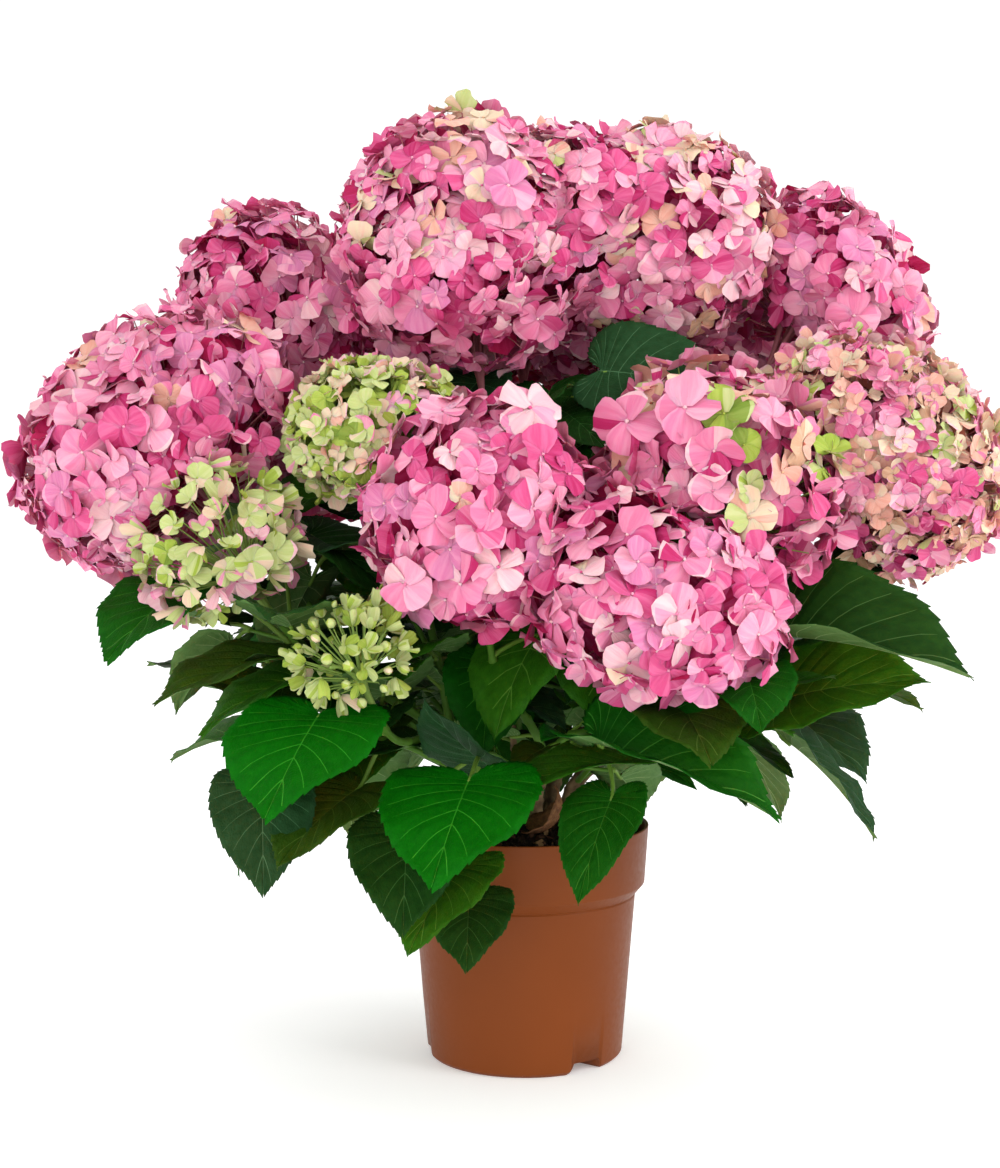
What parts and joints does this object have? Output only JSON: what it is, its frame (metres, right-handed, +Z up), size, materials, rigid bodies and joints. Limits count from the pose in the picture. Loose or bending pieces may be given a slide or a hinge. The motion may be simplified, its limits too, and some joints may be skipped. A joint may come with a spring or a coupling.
{
  "type": "potted hydrangea shrub",
  "caption": "Mophead hydrangea shrub in a round nursery pot: woody canes, green shoots, broad toothed leaves and domes of four-petalled pink and lime florets.",
  "frame": {"origin": "centre of the pot's flat underside, on the ground the pot stands on", "axes": "+Z up, -Y towards the front of the plant, +X to the right seen from the front"},
  "size_m": [0.7284, 0.6413, 0.7144],
  "materials": {
    "pot_plastic": "satin terracotta-coloured plastic",
    "compost": "rough crumbly potting compost",
    "bark": "rough peeling bark",
    "green_stem": "smooth green stem",
    "leaf": "veined satin leaf",
    "pink_petal": "soft matt petal",
    "blush_petal": "soft matt petal",
    "lime_petal": "soft matt petal"
  },
  "bodies": {
    "root": {"pot": "pot_plastic", "soil": "compost", "cane_middle": "bark", "cane_front": "bark", "cane_front_left": "bark", "cane_left": "bark", "cane_right": "bark", "cane_back_left": "bark", "cane_back_right": "bark", "bloom_top_left": "pink_petal", "bloom_top_right": "pink_petal", "bloom_upper_left": "pink_petal", "bloom_left": "pink_petal", "bloom_back_side": "pink_petal", "bloom_upper_right": "pink_petal", "bloom_right": "blush_petal", "bloom_middle_right": "pink_petal", "bloom_front_left": "pink_petal", "bloom_front_right": "pink_petal", "bloom_lime_left": "lime_petal", "bloom_young_left": "lime_petal", "bloom_bud_left": "lime_petal", "bloom_back_top": "pink_petal", "bloom_back_left": "pink_petal", "bloom_back_right": "pink_petal", "bloom_back_low": "pink_petal", "shoot_top_left": "green_stem", "shoot_top_right": "green_stem", "shoot_upper_left": "green_stem", "shoot_left": "green_stem", "shoot_back_side": "green_stem", "shoot_upper_right": "green_stem", "shoot_right": "green_stem", "shoot_middle_right": "green_stem", "shoot_front_left": "green_stem", "shoot_front_right": "green_stem", "shoot_lime_left": "green_stem", "shoot_young_left": "green_stem", "shoot_bud_left": "green_stem", "shoot_back_top": "green_stem", "shoot_back_left": "green_stem", "shoot_back_right": "green_stem", "shoot_back_low": "green_stem", "leaves_front": "leaf", "leaves_front_left": "leaf", "leaves_left": "leaf", "leaves_middle_left": "leaf", "leaves_front_middle": "leaf", "leaves_front_right": "leaf", "leaves_right": "leaf", "leaves_right_high": "leaf", "leaves_crown": "leaf", "leaves_back_right_low": "leaf", "leaves_back_right": "leaf", "leaves_back_low": "leaf", "leaves_back": "leaf", "leaves_back_left_low": "leaf", "leaves_back_left": "leaf", "leaves_left_low": "leaf"}
  },
  "joints": []
}
